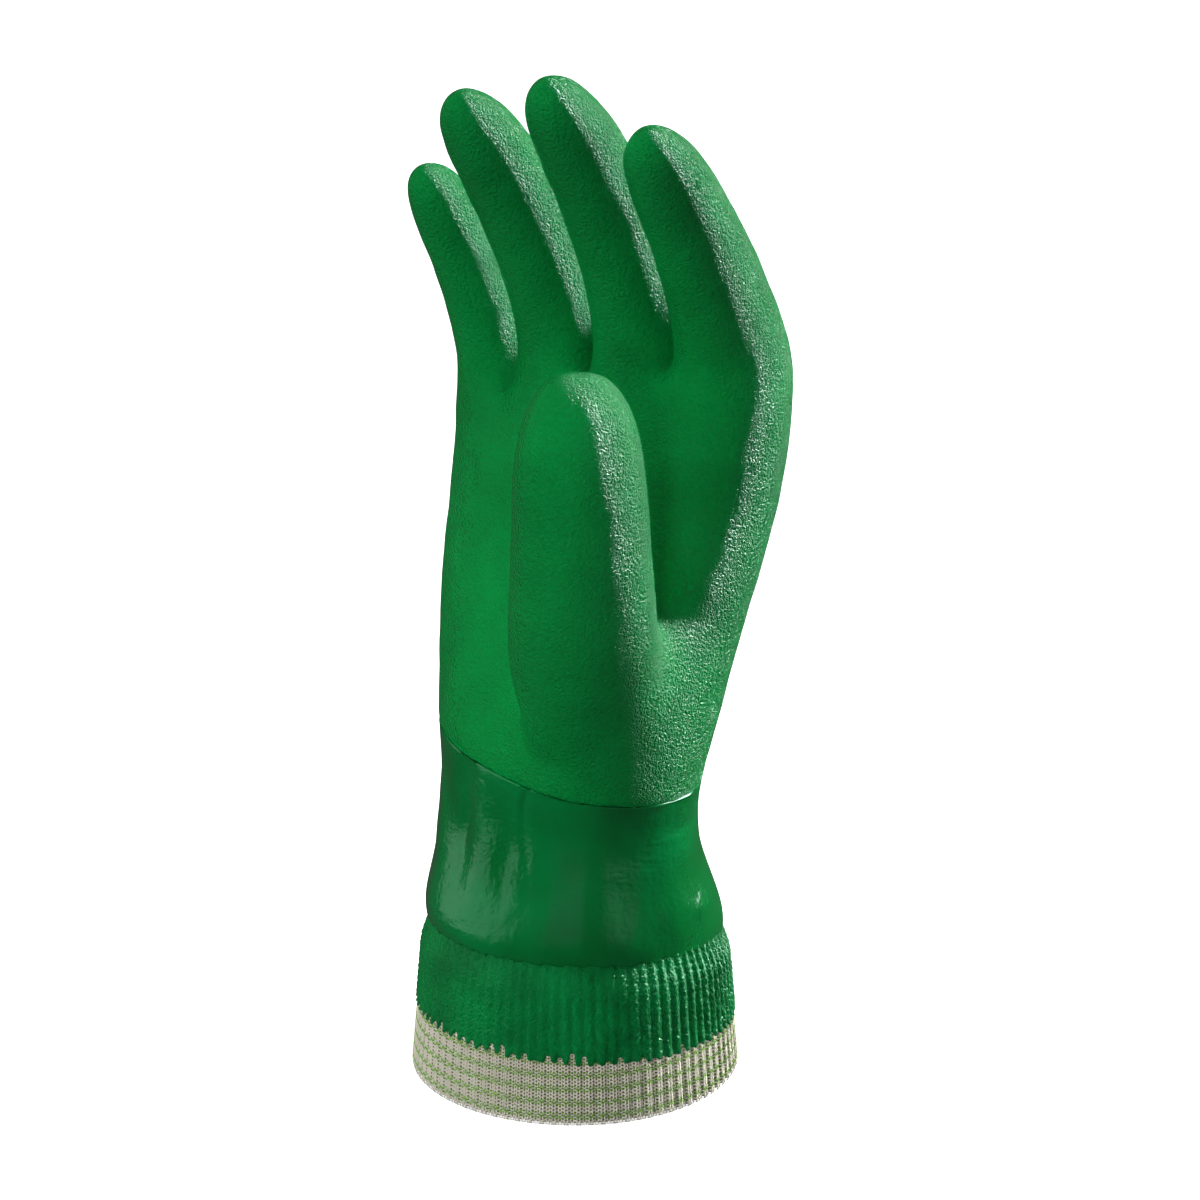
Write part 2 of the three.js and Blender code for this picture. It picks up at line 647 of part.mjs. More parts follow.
// The glove stands with the middle of its outline over the origin
const bounds = new THREE.Box3().setFromObject(glove);
glove.position.set(-(bounds.min.x + bounds.max.x) / 2, -(bounds.min.y + bounds.max.y) / 2, -bounds.min.z);

export default glove;
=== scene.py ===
import math
import random
import bmesh
import bpy
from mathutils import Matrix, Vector, noise


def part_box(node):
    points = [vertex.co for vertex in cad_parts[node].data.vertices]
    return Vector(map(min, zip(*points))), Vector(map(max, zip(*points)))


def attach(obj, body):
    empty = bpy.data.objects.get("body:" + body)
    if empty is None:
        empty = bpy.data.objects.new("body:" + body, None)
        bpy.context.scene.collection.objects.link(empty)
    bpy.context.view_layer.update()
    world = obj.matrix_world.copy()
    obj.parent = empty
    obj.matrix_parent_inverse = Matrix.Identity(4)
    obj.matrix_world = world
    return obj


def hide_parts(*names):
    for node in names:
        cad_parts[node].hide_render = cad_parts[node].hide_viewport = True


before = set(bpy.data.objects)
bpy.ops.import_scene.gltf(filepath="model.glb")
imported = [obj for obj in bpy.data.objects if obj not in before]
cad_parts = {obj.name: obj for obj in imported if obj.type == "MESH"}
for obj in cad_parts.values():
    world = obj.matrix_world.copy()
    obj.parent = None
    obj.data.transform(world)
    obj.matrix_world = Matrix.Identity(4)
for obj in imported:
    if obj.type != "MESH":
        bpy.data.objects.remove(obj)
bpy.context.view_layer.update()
print("frame loaded")

mm = 0.001
fullTurn = 2 * math.pi


def mix(low, high, share):
    return low + (high - low) * share


def ease(share):
    held = min(max(share, 0.0), 1.0)
    return held * held * (3 - 2 * held)


def bell(distance, width):
    return math.exp(-((distance / width) ** 2))


# The cuff is round, and all that is placed round it starts from its axis
cuffLow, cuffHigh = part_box("knit_cuff")
cuffAxis = Vector(((cuffLow.x + cuffHigh.x) / 2, (cuffLow.y + cuffHigh.y) / 2, 0))

cuff = {
    "ribs": 85,
    "rimRadius": (cuffHigh.x - cuffLow.x) / 2,
    "ridgeRadius": 39.5 * mm,
    "ridgeHeight": 40 * mm,
    "ridgeSlope": -5 / 79,  # the ridge sinks towards the back of the hand
    "coatEdge": 16.5 * mm,
    "coatEdgeSlope": -2.5 / 87,
    "relief": 0.95 * mm,  # from the crown of a rib to the valley beside it
    "faintRelief": 0.3,  # share of it that is left where the coat has pulled the cuff flat
    "deepTurn": math.radians(60),
    "deepSpread": math.radians(60),
    "deepReach": 1.6,  # how many spreads away the ribs are flat
}


def cuffRadius(height):
    return mix(cuff["rimRadius"], cuff["ridgeRadius"], height / cuff["ridgeHeight"])


def turnBetween(one, other):
    return abs((one - other + math.pi) % fullTurn - math.pi)


# Ribs are deep on the thumb's side and nearly flat on the little finger's side
def ribRelief(turn):
    side = turnBetween(turn, cuff["deepTurn"]) / cuff["deepSpread"]
    return cuff["relief"] * mix(cuff["faintRelief"], 1.0, ease(cuff["deepReach"] - side))


def ribCrown(turn):
    return 0.5 + 0.5 * math.cos(cuff["ribs"] * turn)


def onCuff(turn, radius, height):
    return cuffAxis + Vector((radius * math.cos(turn), radius * math.sin(turn), height))


# Finishes: numbers are written as sums, and everything else comes from one method
class Flow:
    def __init__(self, finish, socket):
        self.finish = finish
        self.socket = socket

    def sum(self, operation, *values):
        inputs = dict(enumerate(values))
        return self.finish.add("ShaderNodeMath", {"operation": operation}, inputs)

    def __add__(self, other):
        return self.sum("ADD", self, other)

    def __radd__(self, other):
        return self.sum("ADD", other, self)

    def __sub__(self, other):
        return self.sum("SUBTRACT", self, other)

    def __rsub__(self, other):
        return self.sum("SUBTRACT", other, self)

    def __mul__(self, other):
        return self.sum("MULTIPLY", self, other)

    def __rmul__(self, other):
        return self.sum("MULTIPLY", other, self)

    def range(self, low, high):
        inputs = {"Value": self, "From Min": low, "From Max": high}
        return self.finish.add("ShaderNodeMapRange", {"interpolation_type": "SMOOTHSTEP"}, inputs)


class Finish:
    def __init__(self, name):
        self.material = bpy.data.materials.new(name)
        self.material.use_nodes = True
        self.nodes = self.material.node_tree.nodes
        self.links = self.material.node_tree.links
        self.shader = self.nodes["Principled BSDF"]
        self.place = self.add("ShaderNodeTexCoord", {}, {}, "Object")

    def add(self, kind, settings, inputs, output=0):
        node = self.nodes.new(kind)
        for setting, value in settings.items():
            setattr(node, setting, value)
        for name, value in inputs.items():
            self.plug(node.inputs[name], value)
        return Flow(self, node.outputs[output])

    def plug(self, socket, value):
        if isinstance(value, Flow):
            self.links.new(value.socket, socket)
        else:
            socket.default_value = value

    def set(self, **sockets):
        for name, value in sockets.items():
            self.plug(self.shader.inputs[name.replace("_", " ")], value)

    def noise(self, scale, detail, stretch=(1, 1, 1)):
        place = self.add("ShaderNodeMapping", {}, {"Vector": self.place, "Scale": stretch})
        return self.add("ShaderNodeTexNoise", {}, {"Vector": place, "Scale": scale, "Detail": detail})

    def cells(self, scale):
        inputs = {"Vector": self.place, "Scale": scale}
        return self.add("ShaderNodeTexVoronoi", {"feature": "SMOOTH_F1"}, inputs, "Distance")

    def blend(self, share, low, high):
        inputs = {0: share, 6: low, 7: high}  # sockets 6 and 7, and output 2, are the ones for colours
        return self.add("ShaderNodeMix", {"data_type": "RGBA"}, inputs, 2)

    def bump(self, height, distance, strength, normal=None):
        inputs = {"Height": height, "Distance": distance, "Strength": strength}
        if normal:
            inputs["Normal"] = normal
        return self.add("ShaderNodeBump", {}, inputs)


def green(red, value, blue):
    return (red, value, blue, 1)


# Rough coat: a fine pebbled skin whose crests catch the light, with painted light on the crests and painted
# shade in the hollows of its colour; sizes of patterns are counts to the metre
roughFinish = {
    "pebbles": 1300,
    "grit": 2200,
    "patches": 45,
    # dark is the painted shade of the pebbles' hollows and pale the painted light on their crests, over
    # random patches
    "dark": green(0.0, 0.2, 0.034),
    "pale": green(0.0, 0.32, 0.058),
    "glint": green(0.6, 1.0, 0.8),
    "roughness": 0.26,
    "specular": 0.85,
    "bump": 0.9 * mm,
}


def makeRoughFinish():
    finish = Finish("rough pvc")
    pebbles = finish.cells(roughFinish["pebbles"])
    grit = finish.noise(roughFinish["grit"], 3)
    patches = finish.noise(roughFinish["patches"], 2)
    height = (1 - pebbles) * 0.5 + grit * 0.9
    # colour: random patches, plus painted light on the crests and painted shade in the hollows, following
    # the bump height
    shade = (patches * 0.5 + height * 0.4).range(0.3, 0.85)
    finish.set(Base_Color=finish.blend(shade, roughFinish["dark"], roughFinish["pale"]),
               Roughness=roughFinish["roughness"],
               Specular_IOR_Level=roughFinish["specular"],
               Specular_Tint=roughFinish["glint"],
               Normal=finish.bump(height, roughFinish["bump"], 1.0))
    return finish.material


# Smooth coat: wet looking, with a little orange peel and short creases across
smoothFinish = {
    "peel": 750,
    "creases": 330,
    "creaseStretch": (0.45, 0.45, 1.3),
    "waves": 130,
    "waveStretch": (1, 1, 0.4),
    "patches": 38,
    "dark": green(0.0, 0.095, 0.016),
    "pale": green(0.0, 0.135, 0.028),
    "glint": green(0.5, 1.0, 0.8),
    "roughness": 0.12,
    "specular": 0.9,
    "waveBump": 0.8 * mm,
    "peelBump": 0.2 * mm,
}


def makeSmoothFinish():
    finish = Finish("smooth pvc")
    peel = finish.noise(smoothFinish["peel"], 3)
    creases = finish.noise(smoothFinish["creases"], 2, smoothFinish["creaseStretch"])
    waves = finish.noise(smoothFinish["waves"], 2, smoothFinish["waveStretch"])
    patches = finish.noise(smoothFinish["patches"], 2)
    creased = patches.range(0.45, 0.65)
    shape = finish.bump(waves + creases * creased * 0.6, smoothFinish["waveBump"], 0.7)
    finish.set(Base_Color=finish.blend(patches.range(0.3, 0.7), smoothFinish["dark"], smoothFinish["pale"]),
               Roughness=smoothFinish["roughness"],
               Specular_IOR_Level=smoothFinish["specular"],
               Specular_Tint=smoothFinish["glint"],
               Normal=finish.bump(peel, smoothFinish["peelBump"], 0.8, shape))
    return finish.material


# Coated ribs: the same coat, soaked into the knit, so that its grain shows through
ribFinish = {
    "grain": 1500,
    "patches": 60,
    "dark": green(0.0, 0.085, 0.016),
    "pale": green(0.0, 0.18, 0.036),
    "glint": green(0.3, 1.0, 0.6),
    "roughness": 0.3,
    "specular": 0.42,
    "bump": 0.6 * mm,
}


def makeRibbedFinish():
    finish = Finish("pvc over ribs")
    grain = finish.noise(ribFinish["grain"], 2)
    patches = finish.noise(ribFinish["patches"], 2)
    shade = patches.range(0.3, 0.7) * 0.6 + grain * 0.4
    finish.set(Base_Color=finish.blend(shade, ribFinish["dark"], ribFinish["pale"]),
               Roughness=ribFinish["roughness"],
               Specular_IOR_Level=ribFinish["specular"],
               Specular_Tint=ribFinish["glint"],
               Normal=finish.bump(grain, ribFinish["bump"], 1.0))
    return finish.material


# Yarns: matt, with the dark and the pale shade of each
yarnFinish = {
    "fibres": 4200,
    "patches": 260,
    "roughness": 0.85,
    "sheen": 0.25,
    "bump": 0.12 * mm,
    "white": ((0.5, 0.46, 0.37, 1), (0.83, 0.8, 0.69, 1)),
    "green": ((0.12, 0.3, 0.03, 1), (0.31, 0.6, 0.1, 1)),
    # the ground's colour is the olive of the yarns behind the loops, darkened with painted shade between
    # them
    "ground": ((0.05, 0.07, 0.02, 1), (0.2, 0.24, 0.1, 1)),
}


def makeYarnFinish(name, shades):
    finish = Finish(name)
    fibres = finish.noise(yarnFinish["fibres"], 2)
    patches = finish.noise(yarnFinish["patches"], 1)
    dark, pale = shades
    finish.set(Base_Color=finish.blend(fibres * 0.6 + patches * 0.4, dark, pale),
               Roughness=yarnFinish["roughness"],
               Sheen_Weight=yarnFinish["sheen"],
               Normal=finish.bump(fibres, yarnFinish["bump"], 0.8))
    return finish.material


roughPvc = makeRoughFinish()
smoothPvc = makeSmoothFinish()
ribbedPvc = makeRibbedFinish()
whiteYarn = makeYarnFinish("white yarn", yarnFinish["white"])
greenYarn = makeYarnFinish("green yarn", yarnFinish["green"])
knitGroundAndShade = makeYarnFinish("knit ground and shade", yarnFinish["ground"])
print("finishes made")

wetPieces = bpy.data.collections.new("wet pieces")  # what the sheets of light reach


def makePiece(name, mesh, material):
    mesh.materials.clear()
    mesh.materials.append(material)
    for face in mesh.polygons:
        face.use_smooth = True
    piece = bpy.data.objects.new(name, mesh)
    bpy.context.scene.collection.objects.link(piece)
    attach(piece, "root")
    return piece


def meshOf(bm, name):
    mesh = bpy.data.meshes.new(name)
    bm.to_mesh(mesh)
    bm.free()
    return mesh


weld = {
    "reach": 0.01 * mm,
    "faceAngle": math.radians(70),
    "shapeAngle": math.radians(100),
}


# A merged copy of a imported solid, with its triangles paired to quads
def solidCopy(node):
    bm = bmesh.new()
    bm.from_mesh(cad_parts[node].data)
    bmesh.ops.remove_doubles(bm, verts=bm.verts, dist=weld["reach"])
    bmesh.ops.join_triangles(bm, faces=bm.faces, angle_face_threshold=weld["faceAngle"],
                             angle_shape_threshold=weld["shapeAngle"])
    return bm


# Marks the skin that joins the given face without a sharp turn, and the sharp edge where it ends
def markSkin(bm, start, sharpest):
    layer = bm.verts.layers.float.new("skin")
    rimLayer = bm.verts.layers.float.new("rim")
    seen = {start}
    waiting = [start]
    while waiting:
        face = waiting.pop()
        for vert in face.verts:
            vert[layer] = 1.0
        for edge in face.edges:
            if edge.calc_face_angle(math.pi) > sharpest:
                for vert in edge.verts:
                    vert[rimLayer] = 1.0
                continue
            for beside in edge.link_faces:
                if beside not in seen:
                    seen.add(beside)
                    waiting.append(beside)


def subdivided(bm, name, levels):
    rough = bpy.data.objects.new(name, meshOf(bm, name))
    bpy.context.scene.collection.objects.link(rough)
    fine = rough.modifiers.new("fine", "SUBSURF")
    fine.levels = levels
    fine.render_levels = levels
    graph = bpy.context.evaluated_depsgraph_get()
    mesh = bpy.data.meshes.new_from_object(rough.evaluated_get(graph))
    bpy.data.objects.remove(rough)
    made = bmesh.new()
    made.from_mesh(mesh)
    bpy.data.meshes.remove(mesh)
    made.normal_update()
    return made


gripCoat = {
    "levels": 2,
    "lump": 0.22 * mm,
    "lumpSize": 8 * mm,
    "ripple": 0.07 * mm,
    "rippleSize": 3 * mm,
    "sharpest": math.radians(62),
    "hang": 0.8 * mm,  # how far the edge runs down over the smooth coat
    "tuck": 0.15 * mm,
    "tuckFrom": 0.4,  # share of the way to the rim
    "rimBelow": 110 * mm,
    "waver": 0.5 * mm,
    "waverSize": 7 * mm,
}


# The rough coat over the hand, refined from its solid and given soft lumps
def buildGripCoat():
    bm = solidCopy("grip_coat")
    bm.faces.ensure_lookup_table()
    top = max(bm.faces, key=lambda face: face.calc_center_median().z)
    markSkin(bm, top, gripCoat["sharpest"])
    bm = subdivided(bm, "grip_coat_skin", gripCoat["levels"])
    skin = bm.verts.layers.float["skin"]
    rim = bm.verts.layers.float["rim"]
    for vert in bm.verts:
        edge = vert[rim] if vert.co.z < gripCoat["rimBelow"] else 0.0
        waver = noise.noise(vert.co / gripCoat["waverSize"]) * gripCoat["waver"]
        vert.co.z -= (gripCoat["hang"] + waver) * edge
        inward = Vector((cuffAxis.x - vert.co.x, cuffAxis.y - vert.co.y, 0)).normalized()
        tucked = ease((edge - gripCoat["tuckFrom"]) / (1 - gripCoat["tuckFrom"]))
        vert.co += inward * gripCoat["tuck"] * tucked
        lump = noise.noise(vert.co / gripCoat["lumpSize"]) * gripCoat["lump"]
        ripple = noise.noise(vert.co / gripCoat["rippleSize"]) * gripCoat["ripple"]
        vert.co += vert.normal * (lump + ripple) * vert[skin]
    piece = makePiece("grip_coat_skin", meshOf(bm, "grip_coat_skin"), roughPvc)
    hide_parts("grip_coat")
    print("grip coat made")


wristCoat = {
    "levels": 3,
    "ridgeSkip": 0.6 * mm,
    "sway": 0.4 * mm,
    "swaySize": 14 * mm,
    "stray": 2.4 * mm,  # how far a fold wanders from its straight way
    "straySize": 9 * mm,
    "creaseAbove": 70 * mm,  # the top edge stays sharp where it meets the rough coat
    "sharpest": math.radians(50),
}

# Folds of the wrist: turn in degrees round the cuff; height, half sizes and depth in millimetres
folds = (
    {"turn": -69, "height": 83, "wide": 1.3, "tall": 9, "depth": 0.7},
    {"turn": -80, "height": 68, "wide": 3.0, "tall": 12, "depth": 0.45},
    {"turn": -106, "height": 76, "wide": 3.2, "tall": 17, "depth": 0.9},
    {"turn": -93, "height": 72, "wide": 3.0, "tall": 15, "depth": -0.5},
    {"turn": -58, "height": 88, "wide": 6.0, "tall": 1.1, "depth": 0.4},
    {"turn": -54, "height": 84, "wide": 5.0, "tall": 1.2, "depth": 0.35},
    {"turn": -14, "height": 85, "wide": 6.0, "tall": 1.2, "depth": 0.4},
    {"turn": -5, "height": 80, "wide": 6.0, "tall": 1.3, "depth": 0.35},
    {"turn": 4, "height": 73, "wide": 7.0, "tall": 2.0, "depth": 0.4},
    {"turn": -30, "height": 60, "wide": 2.6, "tall": 9, "depth": 0.4},
    {"turn": -44, "height": 57, "wide": 3.2, "tall": 8, "depth": -0.3},
    {"turn": 10, "height": 50, "wide": 13, "tall": 4, "depth": -0.9},
    {"turn": 8, "height": 60, "wide": 13, "tall": 4.5, "depth": 0.6},
    {"turn": 60, "height": 74, "wide": 3.5, "tall": 14, "depth": 0.8},
    {"turn": 112, "height": 72, "wide": 3.5, "tall": 15, "depth": 0.8},
    {"turn": 165, "height": 75, "wide": 3.5, "tall": 15, "depth": 0.8},
    {"turn": 215, "height": 72, "wide": 3.5, "tall": 14, "depth": 0.7},
)


def foldDepth(place):
    spot = place / wristCoat["straySize"]
    sway = Vector((noise.noise(spot), noise.noise(spot.yzx)))
    sway *= wristCoat["stray"]
    out = place - cuffAxis
    turn = math.atan2(out.y, out.x)
    radius = math.hypot(out.x, out.y)
    depth = 0.0
    for fold in folds:
        away = (turn - math.radians(fold["turn"]) + math.pi) % fullTurn - math.pi
        across = bell(away * radius + sway.x, fold["wide"] * mm)
        along = bell(place.z - fold["height"] * mm + sway.y, fold["tall"] * mm)
        depth += fold["depth"] * mm * across * along
    return depth


def ridgeHeightAt(place):
    return cuff["ridgeHeight"] + cuff["ridgeSlope"] * (place.y - cuffAxis.y)


# The smooth coat above the ridge; its lower edge is closed into a puffed roll
def buildWristCoat():
    bm = solidCopy("wrist_coat")
    low = []
    for face in bm.faces:
        middle = face.calc_center_median()
        if middle.z < ridgeHeightAt(middle) - wristCoat["ridgeSkip"]:
            low.append(face)
    bmesh.ops.delete(bm, geom=low, context="FACES")
    rims = [edge for edge in bm.edges if edge.is_boundary]
    bmesh.ops.bridge_loops(bm, edges=rims)
    bmesh.ops.recalc_face_normals(bm, faces=bm.faces)
    crease = bm.edges.layers.float.new("crease_edge")
    for edge in bm.edges:
        isHigh = edge.verts[0].co.z > wristCoat["creaseAbove"]
        if isHigh and edge.calc_face_angle(0) > wristCoat["sharpest"]:
            edge[crease] = 1.0
    bm = subdivided(bm, "wrist_coat_skin", wristCoat["levels"])
    for vert in bm.verts:
        sway = noise.noise(vert.co / wristCoat["swaySize"]) * wristCoat["sway"]
        vert.co += vert.normal * (sway - foldDepth(vert.co))
    piece = makePiece("wrist_coat_skin", meshOf(bm, "wrist_coat_skin"), smoothPvc)
    wetPieces.objects.link(piece)
    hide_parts("wrist_coat")
    print("wrist coat made")


ribCoat = {
    "stepsPerRib": 12,
    "rows": 44,
    "proud": 0.35 * mm,
    "thickness": 1.2 * mm,
    "edgeRound": 0.25 * mm,
    "groove": 1.9 * mm,
    "rise": 1.6 * mm,  # the coat runs on up inside the puffed roll
    "notch": 2.7 * mm,
    "notchReach": 0.33,  # half a notch's width, as a share of a rib
    "notchSide": 0.15,
    "notchLean": 1.5,  # above 1, deep notches are rarer than shallow ones
    "seed": 7,
    "drip": 0.5 * mm,
    "stitch": 0.9 * mm,
    "stitchRelief": 0.15 * mm,
    "pimple": 0.16 * mm,
    "pimpleSize": 0.8 * mm,
    "grooveFrom": 0.6,  # share of the height from which the ribs sink in under the roll
    "grooveEase": 2.5,
    "innerRows": 3,
}


# The operators leave the faces' order to chance, so it is set by the numbers of their corners
def orderFaces(bm):
    bm.verts.index_update()
    count = len(bm.verts)

    def order(face):
        numbers = [vert.index for vert in face.verts]
        return min(numbers) * count + max(numbers)

    bm.faces.sort(key=order)


# A closed tube round the cuff; place says where a row's point at a turn stands
def ringShell(columns, rows, place):
    bm = bmesh.new()
    bmesh.ops.create_circle(bm, segments=columns, radius=1)
    first = bm.edges[:]
    edges = first
    for row in range(rows - 1):
        made = bmesh.ops.extrude_edge_only(bm, edges=edges)["geom"]
        edges = [item for item in made if isinstance(item, bmesh.types.BMEdge)]
        verts = [item for item in made if isinstance(item, bmesh.types.BMVert)]
        bmesh.ops.translate(bm, verts=verts, vec=(0, 0, 1))
    bmesh.ops.bridge_loops(bm, edges=first + edges)
    for vert in bm.verts:
        vert.co = place(math.atan2(vert.co.y, vert.co.x), round(vert.co.z))
    bmesh.ops.recalc_face_normals(bm, faces=bm.faces)
    orderFaces(bm)
    return bm


def coatEdgeAt(turn):
    slope = cuff["coatEdgeSlope"] * cuff["rimRadius"]
    return cuff["coatEdge"] + slope * (math.cos(turn) + math.sin(turn))


# The coat over the ribs, from its jagged lower edge up under the roll
def buildRibCoat():
    lot = random.Random(ribCoat["seed"])
    notches = [ribCoat["notch"] * lot.random() ** ribCoat["notchLean"] for rib in range(cuff["ribs"])]
    drips = [ribCoat["drip"] * lot.random() for rib in range(cuff["ribs"])]
    outerRows = ribCoat["rows"]

    def jag(turn):
        place = turn / fullTurn * cuff["ribs"]
        valley = math.floor(place)
        crown = round(place)
        bare = ease((ribCoat["notchReach"] - abs(place - valley - 0.5)) / ribCoat["notchSide"])
        hang = ease(1 - abs(place - crown) / 0.5)
        return notches[valley % cuff["ribs"]] * bare - drips[crown % cuff["ribs"]] * hang

    def place(turn, row):
        inner = row > outerRows
        if inner:
            share = (outerRows + ribCoat["innerRows"] - row) / ribCoat["innerRows"]
        else:
            share = max(row - 1, 0) / (outerRows - 1)
        low = coatEdgeAt(turn) + jag(turn)
        across = cuff["ridgeRadius"] * math.sin(turn)
        high = cuff["ridgeHeight"] + cuff["ridgeSlope"] * across + ribCoat["rise"]
        height = mix(low, high, share)
        sunk = ribCoat["groove"] * ease((share - ribCoat["grooveFrom"]) * ribCoat["grooveEase"])
        radius = cuffRadius(height) - sunk + ribCoat["proud"]
        if inner:
            return onCuff(turn, radius - ribCoat["thickness"] - cuff["relief"] / 2, height)
        crown = ribCrown(turn)
        radius -= ribRelief(turn) * (1 - crown)
        if row == 0:
            return onCuff(turn, radius - ribCoat["edgeRound"] * 2, low + ribCoat["edgeRound"])
        stitch = math.cos(fullTurn * height / ribCoat["stitch"]) * crown
        spot = onCuff(turn, radius, height)
        pimple = noise.noise(spot / ribCoat["pimpleSize"])
        radius += ribCoat["stitchRelief"] * stitch + ribCoat["pimple"] * pimple
        return onCuff(turn, radius, height)

    columns = cuff["ribs"] * ribCoat["stepsPerRib"]
    bm = ringShell(columns, outerRows + 1 + ribCoat["innerRows"], place)
    piece = makePiece("ribbed_coat", meshOf(bm, "ribbed_coat"), ribbedPvc)
    wetPieces.objects.link(piece)
    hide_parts("wrist_coat")
    print("ribbed coat made")


knit = {
    "course": 0.9 * mm,
    "courses": 24,
    "greenEvery": 4,
    "firstGreen": 2,
    "yarnRadius": 0.22 * mm,
    "crownShare": 0.54,  # of a rib's width, taken by its raised wale
    "stepsPerStitch": 7,
    "firstRise": 0.25 * mm,
    "loopRise": 0.72 * mm,
    "loopLean": 0.23,
    "loopDepth": 0.22 * mm,
    "inset": 0.3 * mm,
    "groundInset": 0.75 * mm,
    "wall": 2.4 * mm,
    "groundLow": 0.5 * mm,
    "groundSteps": 6,
}

# A knit stitch stands on each raised wale and a purl stitch in each valley
stitches = (
    {"middle": 0.0, "share": knit["crownShare"], "facing": 1},
    {"middle": 0.5, "share": 1 - knit["crownShare"], "facing": -1},
)


# One yarn's way round the cuff, stitch by stitch
def coursePoints(course):
    points = []
    centre = knit["course"] * (course + 0.5) + knit["firstRise"]
    steps = knit["stepsPerStitch"]
    for rib in range(cuff["ribs"]):
        for stitch in stitches:
            share = stitch["share"]
            for step in range(steps):
                along = -math.pi + fullTurn * (step + 0.5) / steps
                lean = knit["loopLean"] * math.sin(2 * along) * share
                turn = (rib + stitch["middle"] + share * along / fullTurn + lean) / cuff["ribs"] * fullTurn
                leg = math.sin(along) ** 2 if abs(along) > math.pi / 2 else -math.cos(2 * along)
                height = max(centre - knit["loopRise"] * math.cos(along), knit["yarnRadius"])
                radius = cuffRadius(height) - knit["inset"] - ribRelief(turn) * (1 - ribCrown(turn))
                radius += stitch["facing"] * leg * knit["loopDepth"]
                points.append(onCuff(turn, radius, height))
    return points


def buildYarn(name, courses, material):
    curve = bpy.data.curves.new(name, "CURVE")
    curve.dimensions = "3D"
    curve.bevel_depth = knit["yarnRadius"]
    curve.bevel_resolution = 0
    for course in courses:
        points = coursePoints(course)
        spline = curve.splines.new("POLY")
        spline.points.add(len(points) - 1)
        spline.use_cyclic_u = True
        for knot, point in zip(spline.points, points):
            knot.co = (*point, 1)
    strand = bpy.data.objects.new(name + "_strand", curve)
    bpy.context.scene.collection.objects.link(strand)
    graph = bpy.context.evaluated_depsgraph_get()
    mesh = bpy.data.meshes.new_from_object(strand.evaluated_get(graph))
    bpy.data.objects.remove(strand)
    return makePiece(name, mesh, material)


# The bare knit: yarn on a plain ribbed ground that shows between the loops, its dark colour partly painted
# shade between them
def buildKnit():
    top = knit["course"] * (knit["courses"] - 1)
    heights = (knit["groundLow"], top, top, knit["groundLow"])  # up the outside and down the inside

    def place(turn, row):
        height = heights[row]
        radius = cuffRadius(height) - ribRelief(turn) * (1 - ribCrown(turn)) - knit["groundInset"]
        if row > 1:
            radius = cuffRadius(height) - knit["wall"]
        return onCuff(turn, radius, height)

    bm = ringShell(cuff["ribs"] * knit["groundSteps"], len(heights), place)
    ground = makePiece("knit_ground_and_shade", meshOf(bm, "knit_ground_and_shade"), knitGroundAndShade)
    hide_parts("knit_cuff")
    isGreen = [course % knit["greenEvery"] == knit["firstGreen"] for course in range(knit["courses"])]
    for name, wanted, material in (("white_yarn", False, whiteYarn), ("green_yarn", True, greenYarn)):
        courses = [course for course in range(knit["courses"]) if isGreen[course] == wanted]
        yarn = buildYarn(name, courses, material)
        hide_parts("knit_cuff")
    print("knit made")


buildGripCoat()
buildWristCoat()
buildRibCoat()
buildKnit()

studio = {
    "white": (1, 1, 1, 1),
    "floorSize": 12,
    "floorColour": (0.9, 0.9, 0.9, 1),
    "floorGlow": 1.0,
    "azimuth": math.radians(42),
    "elevation": math.radians(17.5),
    "distance": 978 * mm,
    "lens": 115.5,
    "sensor": 36,
    "aimOut": 6.5 * mm,
    "aimHeight": 126.2 * mm,
    "roomLight": 0.05,
    "lightAim": 0.12,  # height that a light points at, and its spread, where its row says nothing else
    "lightSpread": 180,
}


def buildFloor():
    bm = bmesh.new()
    bmesh.ops.create_grid(bm, x_segments=1, y_segments=1, size=studio["floorSize"])
    floor = bpy.data.objects.new("floor", meshOf(bm, "floor"))
    bpy.context.scene.collection.objects.link(floor)
    finish = Finish("pale floor")
    finish.set(Base_Color=studio["floorColour"], Roughness=0.8, Specular_IOR_Level=0.1,
               Emission_Color=studio["white"], Emission_Strength=studio["floorGlow"])
    floor.data.materials.append(finish.material)
    floor.visible_glossy = False
    floor.visible_diffuse = False


def directionFrom(azimuth, elevation):
    flat = math.cos(elevation)
    return Vector((math.sin(azimuth) * flat, -math.cos(azimuth) * flat, math.sin(elevation)))


def buildCamera():
    data = bpy.data.cameras.new("camera")
    data.lens = studio["lens"]
    data.sensor_width = studio["sensor"]
    camera = bpy.data.objects.new("camera", data)
    bpy.context.scene.collection.objects.link(camera)
    back = directionFrom(studio["azimuth"], studio["elevation"])
    out = studio["aimOut"]
    aim = cuffAxis + Vector((math.cos(studio["azimuth"]) * out, math.sin(studio["azimuth"]) * out,
                             studio["aimHeight"]))
    camera.location = aim + back * studio["distance"]
    camera.rotation_mode = "QUATERNION"
    camera.rotation_quaternion = (-back).to_track_quat("-Z", "Y")
    bpy.context.scene.camera = camera


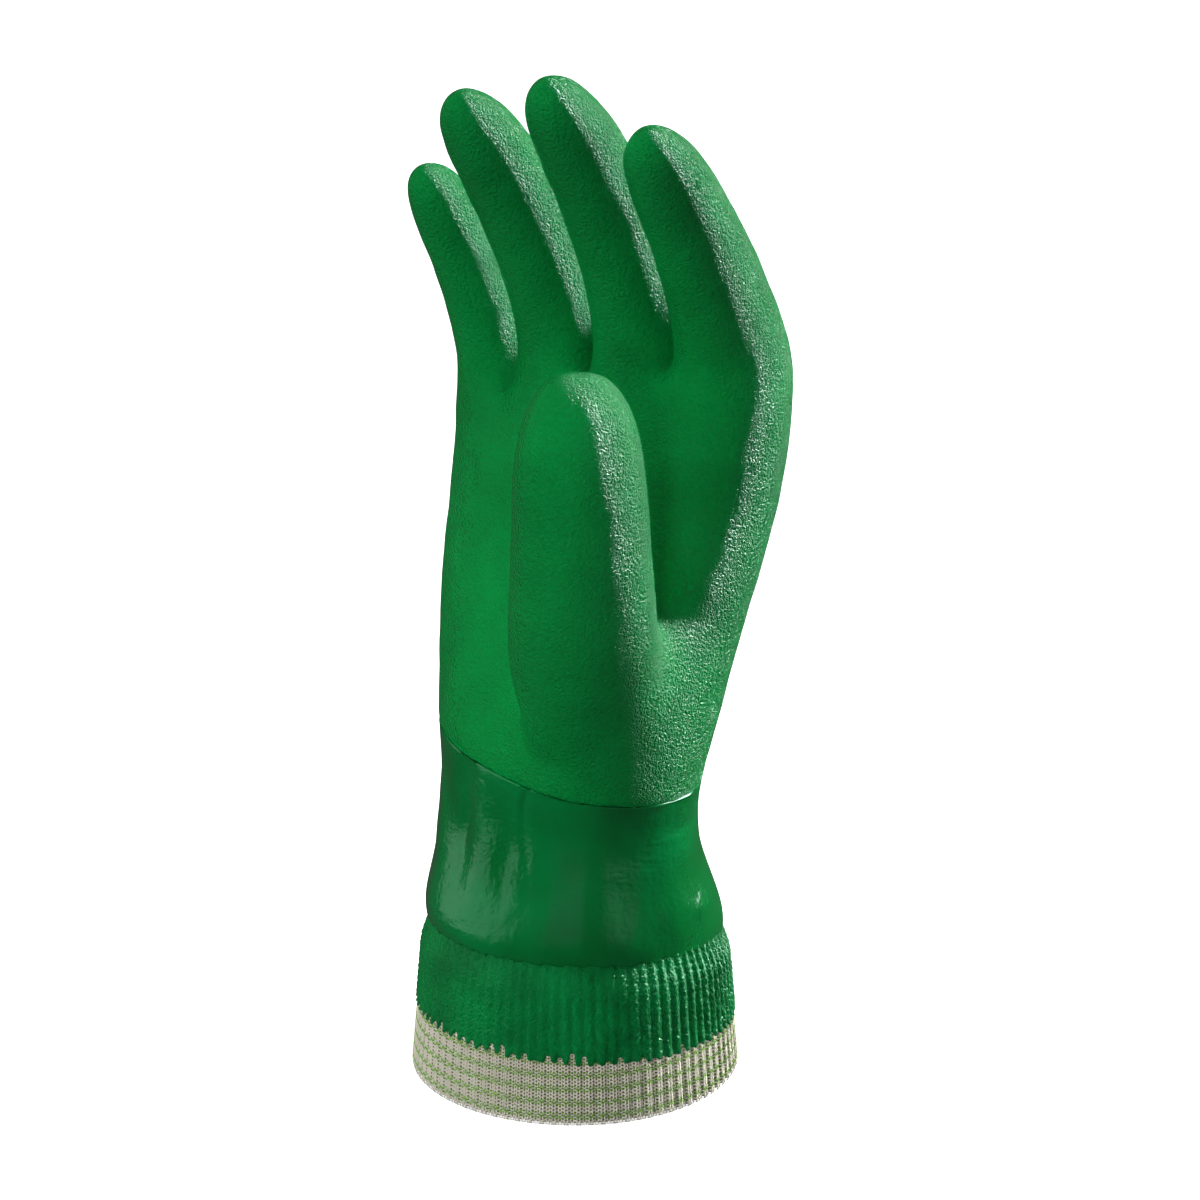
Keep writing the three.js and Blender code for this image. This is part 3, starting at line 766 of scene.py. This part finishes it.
# Lights in degrees, metres and watts: turn starts at the camera, and onWet ones reach wetPieces alone
lights = (
    {"name": "left box", "turn": -58, "rise": 30, "away": 1.4, "wide": 1.0, "tall": 1.4, "power": 16},
    {"name": "front box", "turn": -12, "rise": 6, "away": 1.0, "wide": 0.3, "tall": 0.3, "power": 0.14,
     "spread": 24, "aim": 0.06},
    {"name": "left sheet", "turn": -88, "rise": 14, "away": 1.4, "wide": 1.7, "tall": 1.5, "power": 5,
     "inGloss": True, "onWet": True},
    {"name": "front sheet", "turn": 42, "rise": 10, "away": 1.5, "wide": 0.7, "tall": 1.0, "power": 0.6,
     "inGloss": True, "onWet": True},
    {"name": "right box", "turn": 112, "rise": 25, "away": 1.2, "wide": 0.16, "tall": 0.34, "power": 2.0,
     "spread": 44, "aim": 0.19, "inGloss": True},
    {"name": "low right box", "turn": 110, "rise": 13, "away": 0.8, "wide": 0.1, "tall": 0.1, "power": 0.12,
     "spread": 20, "aim": 0.01, "inGloss": True},
    {"name": "top box", "turn": 0, "rise": 80, "away": 1.5, "wide": 0.5, "tall": 0.5, "power": 5},
    {"name": "back box", "turn": -165, "rise": 25, "away": 1.4, "wide": 1.0, "tall": 1.0, "power": 4},
)


def buildLight(row):
    data = bpy.data.lights.new(row["name"], "AREA")
    data.shape = "RECTANGLE"
    data.size = row["wide"]
    data.size_y = row["tall"]
    data.energy = row["power"]
    data.spread = math.radians(row.get("spread", studio["lightSpread"]))
    light = bpy.data.objects.new(row["name"], data)
    bpy.context.scene.collection.objects.link(light)
    towards = directionFrom(studio["azimuth"] + math.radians(row["turn"]), math.radians(row["rise"]))
    light.visible_glossy = row.get("inGloss", False)
    light.location = Vector((0, 0, row.get("aim", studio["lightAim"]))) + towards * row["away"]
    light.rotation_mode = "QUATERNION"
    light.rotation_quaternion = towards.to_track_quat("Z", "Y")
    if row.get("onWet"):
        light.light_linking.receiver_collection = wetPieces


# The room is dim, so that only the lights show in the gloss, but looks white behind the glove
def buildStudio():
    world = bpy.data.worlds.new("studio")
    world.use_nodes = True
    nodes = world.node_tree.nodes
    links = world.node_tree.links
    room = nodes["Background"]
    room.inputs["Strength"].default_value = studio["roomLight"]
    backdrop = nodes.new("ShaderNodeBackground")
    for background in (room, backdrop):
        background.inputs["Color"].default_value = studio["white"]
    seen = nodes.new("ShaderNodeMixShader")
    links.new(nodes.new("ShaderNodeLightPath").outputs["Is Camera Ray"], seen.inputs[0])
    links.new(room.outputs[0], seen.inputs[1])
    links.new(backdrop.outputs[0], seen.inputs[2])
    links.new(seen.outputs[0], nodes["World Output"].inputs["Surface"])
    bpy.context.scene.world = world
    bpy.context.scene.view_settings.view_transform = "Standard"
    for row in lights:
        buildLight(row)


buildFloor()
buildCamera()
buildStudio()
print("studio made")
